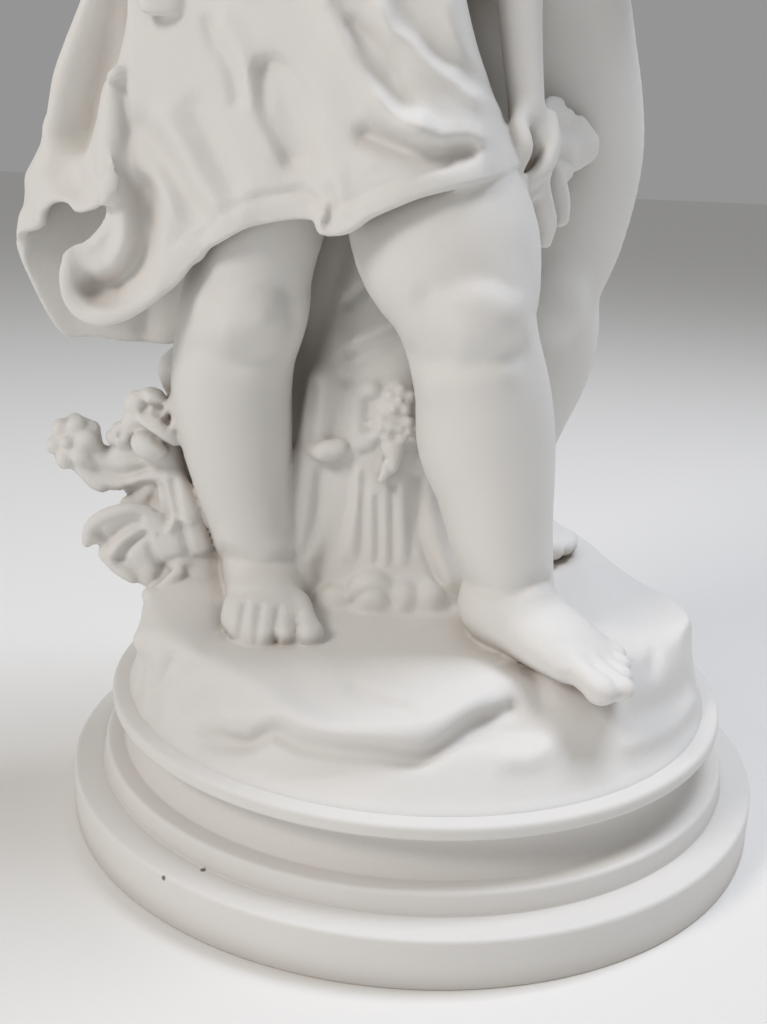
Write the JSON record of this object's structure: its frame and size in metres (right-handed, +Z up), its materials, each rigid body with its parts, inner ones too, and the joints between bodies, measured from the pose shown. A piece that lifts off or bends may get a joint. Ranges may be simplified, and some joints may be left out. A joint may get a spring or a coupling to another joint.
{
  "type": "bisque statuette",
  "caption": "Two small children standing together on a rocky mound with roses and a tree stump, cast in one with a round stepped plinth.",
  "frame": {"origin": "centre of the plinth's underside, where it stands", "axes": "+Z up, the children's front towards -Y, +X to the right as seen from the front"},
  "size_m": [0.269, 0.25, 0.5135],
  "materials": {
    "bisque": "matte unglazed porcelain"
  },
  "bodies": {
    "root": {"statuette": "bisque"}
  },
  "joints": []
}
